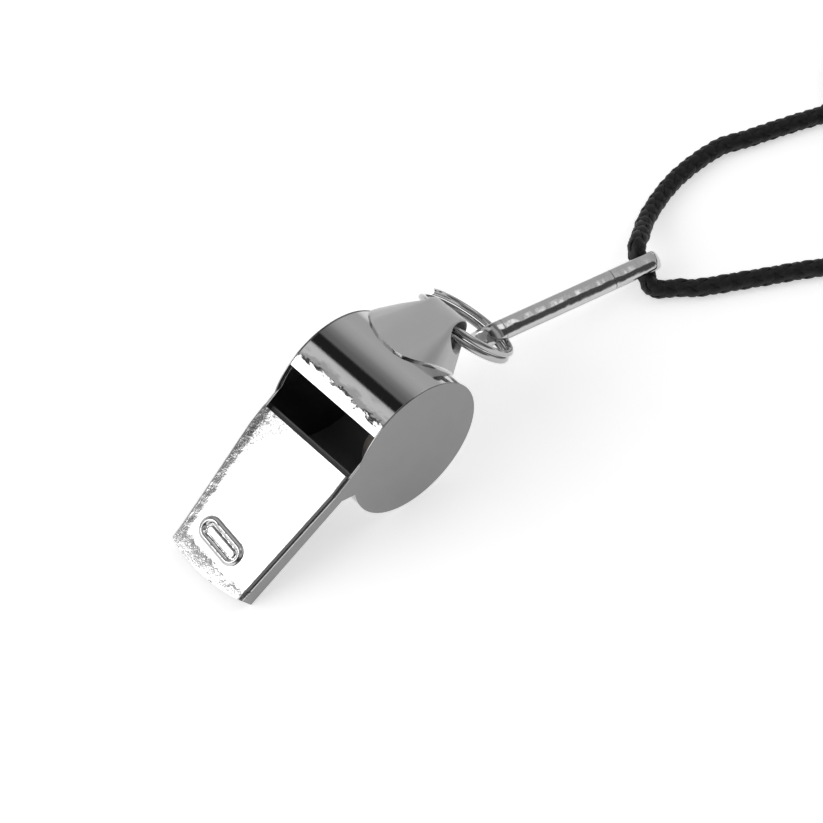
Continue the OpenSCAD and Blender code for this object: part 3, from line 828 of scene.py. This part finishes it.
def mouthpiece_top():
    """The top sheet covers both side plates, and its long edges are rolled down onto them."""
    tips = [tip_x(k) for k in range(TOP_ACROSS)]
    upper, lower = [], []
    for i in range(TOP_ROWS + 1):
        high = []
        for k, end in enumerate(tips):
            x = -WINDOW_REACH + i / TOP_ROWS * (end + WINDOW_REACH)
            y = top_across(k, x)
            rise = oval_rise(x, y) - edge_drop(x, y, half_width(x) - abs(y))
            high.append((x, y, TOP_HEIGHT + rise))
            lower.append((x, y, TOP_UNDER))
        upper.append(high)
    points, faces = skin(upper, wrap=False, caps=False)
    n, m = TOP_ACROSS, TOP_ROWS + 1
    rim = [*range(n)] + [i * n + n - 1 for i in range(1, m)]
    rim += [(m - 1) * n + i for i in range(n - 2, -1, -1)] + [i * n for i in range(m - 2, 0, -1)]
    flat = {at: len(points) + i for i, at in enumerate(rim)}
    points += [lower[at] for at in rim]
    for a, b in zip(rim, rim[1:] + rim[:1]):
        faces.append((b, a, flat[a], flat[b]))
    faces.append(tuple(flat[a] for a in rim))
    piece = new_object("mouthpiece_top_sheet", points, faces, WHISTLE, TOP, 40)
    round_edges(piece, TOP_EDGE, 2, 60)
    finish_piece(piece, "whistle", "mouth_plate", "mouthpiece_top")


def mouthpiece_floor():
    """The sheet under the air way, between the side plates, to the barrel's sheet."""
    profile = [(-TIP_REACH, TIP_HEIGHT), (-BEND_REACH, HEEL_HEIGHT)]
    rows = []
    for height in (0.0, SHEET_T):
        z = HEEL_HEIGHT + height
        end = -math.sqrt((WRAP_R + PLATE_FIT) ** 2 - z ** 2)
        rows.append([(x, h + height) for x, h in profile] + [(end, z)])
    section = rows[0] + rows[1][::-1]
    inset = PLATE_T / math.cos(TAPER)
    sides = [[(x, side * half_width(x, inset), z) for x, z in section] for side in (-1, 1)]
    piece = new_object("mouthpiece_floor_sheet", *skin(sides), WHISTLE, INSIDE_SHADED, 30)
    finish_piece(piece, "whistle", "mouth_plate", "mouthpiece_floor")


LUG_NOSE, NOSE_R, NOSE_W, NOSE_SOFT = 14.7, 2.15, 5.7, 0.4
FOOT_REACH, FOOT_HIGH, FOOT_RIGHT, FOOT_LEFT, FOOT_STOP = 6.0, 7.5, 6.8, 12.8, 7.85
LUG_CENTRE = np.array((9.5, 0.15, 0.0))
LUG_T, LUG_SEAT, LUG_AROUND, LUG_DOWN, LUG_WAYS = 0.6, 0.02, 96, 44, 7000
LUG_FIRST_ROW, POLE_LOW, POLE_HIGH, HALVINGS = 0.35, 0.2, 2.6, 22
LEAST_FACING = 0.02
TUNNEL_R, TUNNEL_SIDES, TUNNEL_HALF = 1.8, 72, 7.0
MOUTH_FROM, MOUTH_SLOPE, MOUTH_TURN = 2.5, 1.35 / 4, math.radians(-63)


def lug_support(ways, inset):
    """How far the lug reaches in each direction: straight from its nose to a wide oval foot."""
    x, y, z = ways.T
    wide = np.where(y < 0, FOOT_RIGHT, FOOT_LEFT) - inset
    foot = x * (FOOT_REACH - LUG_CENTRE[0]) - y * LUG_CENTRE[1]
    foot = foot + np.hypot(wide * y, (FOOT_HIGH - inset * 1.2) * z)
    nose = ways @ (np.array((LUG_NOSE, 0, 0)) - LUG_CENTRE)
    nose = nose + (NOSE_R - inset - NOSE_SOFT) * np.hypot(x, z)
    nose += (NOSE_W / 2 - inset - NOSE_SOFT) * np.abs(y) + NOSE_SOFT
    return np.maximum(foot, nose)


def lug_shell(inset):
    """Rows from the nose's end to the cut edge, and one more on the barrel's wall."""
    k = np.arange(LUG_WAYS)
    z = 1 - 2 * (k + 0.5) / len(k)
    turn = k * math.pi * (3 - math.sqrt(5))
    round_r = np.sqrt(1 - z * z)
    ways = np.stack([z, round_r * np.cos(turn), round_r * np.sin(turn)], axis=1)
    reach = np.append(lug_support(ways, inset), FOOT_STOP - inset - LUG_CENTRE[1])
    ways = np.vstack([ways, (0, 1, 0)])
    phi = math.tau * np.arange(LUG_AROUND) / LUG_AROUND

    def hit(polar):
        """The lug's face, seen from its centre at angles from the nose's way."""
        directions = np.stack([np.cos(polar), np.sin(polar) * np.cos(phi),
                               np.sin(polar) * np.sin(phi)], axis=1)
        facing = directions @ ways.T
        far = reach[None, :] / np.maximum(facing, LEAST_FACING)
        far = np.where(facing > LEAST_FACING, far, np.inf)
        return LUG_CENTRE + directions * far.min(axis=1)[:, None]

    low, high = np.full(LUG_AROUND, POLE_LOW), np.full(LUG_AROUND, POLE_HIGH)
    for _ in range(HALVINGS):
        mid = (low + high) / 2
        p = hit(mid)
        inside = np.hypot(p[:, 0], p[:, 2]) < WRAP_R + LUG_EDGE
        high = np.where(inside, mid, high)
        low = np.where(inside, low, mid)
    rows = [hit(low * (i + LUG_FIRST_ROW) / (LUG_DOWN + LUG_FIRST_ROW))
            for i in range(LUG_DOWN + 1)]
    foot = rows[-1].copy()
    foot[:, (0, 2)] *= ((WRAP_R - LUG_SEAT) / np.hypot(foot[:, 0], foot[:, 2]))[:, None]
    return rows + [foot]


def bore_ring(y):
    """The ring's tunnel at a place across it: its mouths open towards the hanging ring."""
    grown = (abs(y) - MOUTH_FROM) * MOUTH_SLOPE
    x, z = LUG_NOSE + grown * math.cos(MOUTH_TURN), grown * math.sin(MOUTH_TURN)
    turns = [math.tau * i / TUNNEL_SIDES for i in range(TUNNEL_SIDES)]
    return [(x + (TUNNEL_R + grown) * math.cos(a), y, z + (TUNNEL_R + grown) * math.sin(a))
            for a in turns]


def ring_lug():
    """A hollow lug of sheet, with the ring's tunnel cut through its nose."""
    points, faces = skin(lug_shell(0.0) + lug_shell(LUG_T)[::-1])
    piece = new_object("ring_lug_shell", points, faces, LUG, LUG_METAL, 40)
    bore = skin([bore_ring(y) for y in (-TUNNEL_HALF, -MOUTH_FROM, MOUTH_FROM, TUNNEL_HALF)])
    cutter = new_object("bore", *bore, LUG, LUG_METAL)
    cut = piece.modifiers.new("tunnel", "BOOLEAN")
    cut.operation = "DIFFERENCE"
    cut.solver = "EXACT"
    cut.object = cutter
    settle(piece)
    bpy.data.objects.remove(cutter)
    piece.data.set_sharp_from_angle(angle=math.radians(35))
    finish_piece(piece, "whistle", "lug_plate", "ring_lug")


PEA_R, PEA_SIDE, PEA_LOW = 4.0, 3.8, 5.45
PEA_WAVES, PEA_WAVE, PEA_DENT = 14, 0.8, 0.02


def pea():
    """A cork ball, a little uneven."""
    shape = bmesh.new()
    bmesh.ops.create_icosphere(shape, subdivisions=5, radius=PEA_R)
    rng = np.random.default_rng(4)
    waves = rng.normal(size=(PEA_WAVES, 3)) * PEA_WAVE
    for v in shape.verts:
        d = sum(math.sin(v.co.dot(Vector(w)) + i) for i, w in enumerate(waves)) / PEA_WAVES
        v.co *= 1 - PEA_DENT * abs(d)
    mesh = bpy.data.meshes.new("pea_cork")
    shape.to_mesh(mesh)
    shape.free()
    mesh.transform(placed((-MIDDLE_X, -PEA_SIDE, DISC_R - PEA_LOW)))
    mesh.materials.append(CORK)
    mesh.shade_smooth()
    finish_piece(add("pea_cork", mesh), "pea", "cork", "pea")


# ---------------------------------------------------------------- ring and clip
RING_START, RING_WOUND, CROSS_START, CROSS_SPAN = -8, 656, 292, 56
RING_STEPS, WIRE_SIDES = 230, 20


def ring_point(a):
    """The wire's middle at an angle: one turn, a crossing, and the second turn."""
    t = math.radians(a)
    level = RING_STACK * (1 - 2 * eased((a - CROSS_START) / CROSS_SPAN))
    return Vector((RING_R * math.sin(t), RING_R * math.cos(t), level))


def split_ring():
    turns = [math.tau * k / WIRE_SIDES for k in range(WIRE_SIDES)]
    rows = []
    for i in range(RING_STEPS + 1):
        a = RING_START + RING_WOUND * i / RING_STEPS
        c = ring_point(a)
        way = (ring_point(a + 0.5) - ring_point(a - 0.5)).normalized()
        out = Vector((c.x, c.y, 0)).normalized()
        out = (out - way * out.dot(way)).normalized()
        up = way.cross(out)
        rows.append([c + WIRE_D / 2 * (math.cos(t) * out + math.sin(t) * up) for t in turns])
    piece = new_object("split_ring_wire", *skin(rows), RING, RING_METAL, 50)
    finish_piece(piece, "ring", "ring_wire", "split_ring")


LEG_SLOPE = math.asin((NEAR_R - FAR_R) / CLIP_CENTRES)
LEG_LEN = CLIP_CENTRES * math.cos(LEG_SLOPE)
GATE_FROM, GATE_END = 0.3, LEG_LEN + FAR_R - NOSE_LEN
GATE_GAP, FRAME_LAP = 0.1, 0.05
SECTION_STEPS, SECTION_SOFT = 16, 0.12
STRIP_EDGE_FROM, STRIP_EDGE_DROP, STRIP_ROUND = 0.82, 0.16, 0.03
NEAR_STEPS, FAR_STEPS, LEG_STEPS, NOSE_STEPS, GATE_STEPS = 44, 36, 24, 8, 30


def leg_place(along, under=0.0, upper=1):
    """A place on the outer face of a leg, and the way out of it."""
    c, s = math.cos(LEG_SLOPE), math.sin(LEG_SLOPE)
    r = NEAR_R - under
    return Vector((along * c + r * s, 0, upper * (r * c - along * s))), Vector((s, 0, upper * c))


def bend_places(centre, radius, start, end, count):
    """Places along a bend's outer face, and the way out of it at each."""
    return [(Vector((centre + radius * c, 0, radius * s)), Vector((c, 0, s)))
            for c, s in arc(1.0, start, end, count)]


def strip_section():
    """The strip's outline as pairs of across and depth: crowned outside, with soft corners."""
    half, soft = STRIP_W / 2, SECTION_SOFT
    outline = []
    for i in range(SECTION_STEPS + 1):
        s = 1 - 2 * i / SECTION_STEPS
        edge = max(0.0, abs(s) - STRIP_EDGE_FROM) / (1 - STRIP_EDGE_FROM)
        outline.append((s * half, -STRIP_CROWN * s * s - STRIP_EDGE_DROP * edge * edge))
    return outline + [(-half, -STRIP_T + soft), (-half + soft, -STRIP_T),
                      (half - soft, -STRIP_T), (half, -STRIP_T + soft)]


def strip_sweep(places):
    return skin([[p + out * depth + Vector((0, across, 0)) for across, depth in strip_section()]
                 for p, out in places])


def strip_piece(name, points, faces, body, node):
    piece = new_object(name, points, faces, CLIP, CLIP_METAL, 40)
    round_edges(piece, STRIP_ROUND, 1, 60)
    finish_piece(piece, body, "clip_strip", node)


def clip_frame():
    """The bend at the ring, the back leg, the bend at the cord and the nose over the gate."""
    slope = math.degrees(LEG_SLOPE)
    nose = LEG_LEN - GATE_END
    places = [leg_place(GATE_FROM - FRAME_LAP)]
    places += bend_places(0, NEAR_R, 90 - slope, 270 + slope, NEAR_STEPS)
    places += [leg_place(LEG_LEN * i / LEG_STEPS, upper=-1) for i in range(1, LEG_STEPS)]
    places += bend_places(CLIP_CENTRES, FAR_R, -90 + slope, 90 - slope, FAR_STEPS)
    places += [leg_place(LEG_LEN - nose * i / NOSE_STEPS) for i in range(1, NOSE_STEPS + 1)]
    strip_piece("clip_frame_strip", *strip_sweep(places), "clip", "clip_frame")


TONGUE_T, TONGUE_THIN, TONGUE_BACK, TONGUE_REACH, TONGUE_GAP = 0.75, 0.45, 1.1, 1.4, 0.12
TONGUE_UNDER = STRIP_T + TONGUE_GAP + TONGUE_THIN


def clip_gate():
    """The sprung leg, with a tongue that reaches under the nose."""
    end = GATE_END - GATE_GAP
    places = [leg_place(GATE_FROM + (end - GATE_FROM) * i / GATE_STEPS)
              for i in range(GATE_STEPS + 1)]
    points, faces = strip_sweep(places)
    side = Vector((0, STRIP_W / 2 - STRIP_CROWN, 0))
    tongue = []
    for at, thick in ((end - TONGUE_BACK, TONGUE_T), (end - GATE_GAP, TONGUE_T),
                      (end, TONGUE_THIN), (end + TONGUE_REACH, TONGUE_THIN)):
        bottom, out = leg_place(at, TONGUE_UNDER)
        top = bottom + out * thick
        tongue.append([bottom - side, bottom + side, top + side, top - side])
    join(points, faces, *skin(tongue))
    strip_piece("clip_gate_strip", points, faces, "gate", "clip_gate")


set_camera()
make_cords()
make_stage()
make_lights()
bpy.context.scene.view_settings.view_transform = "Standard"

barrel_wrap()
side_plate(1, "side_plate_left")
side_plate(-1, "side_plate_right")
mouthpiece_top()
mouthpiece_floor()
ring_lug()
pea()
split_ring()
clip_frame()
clip_gate()
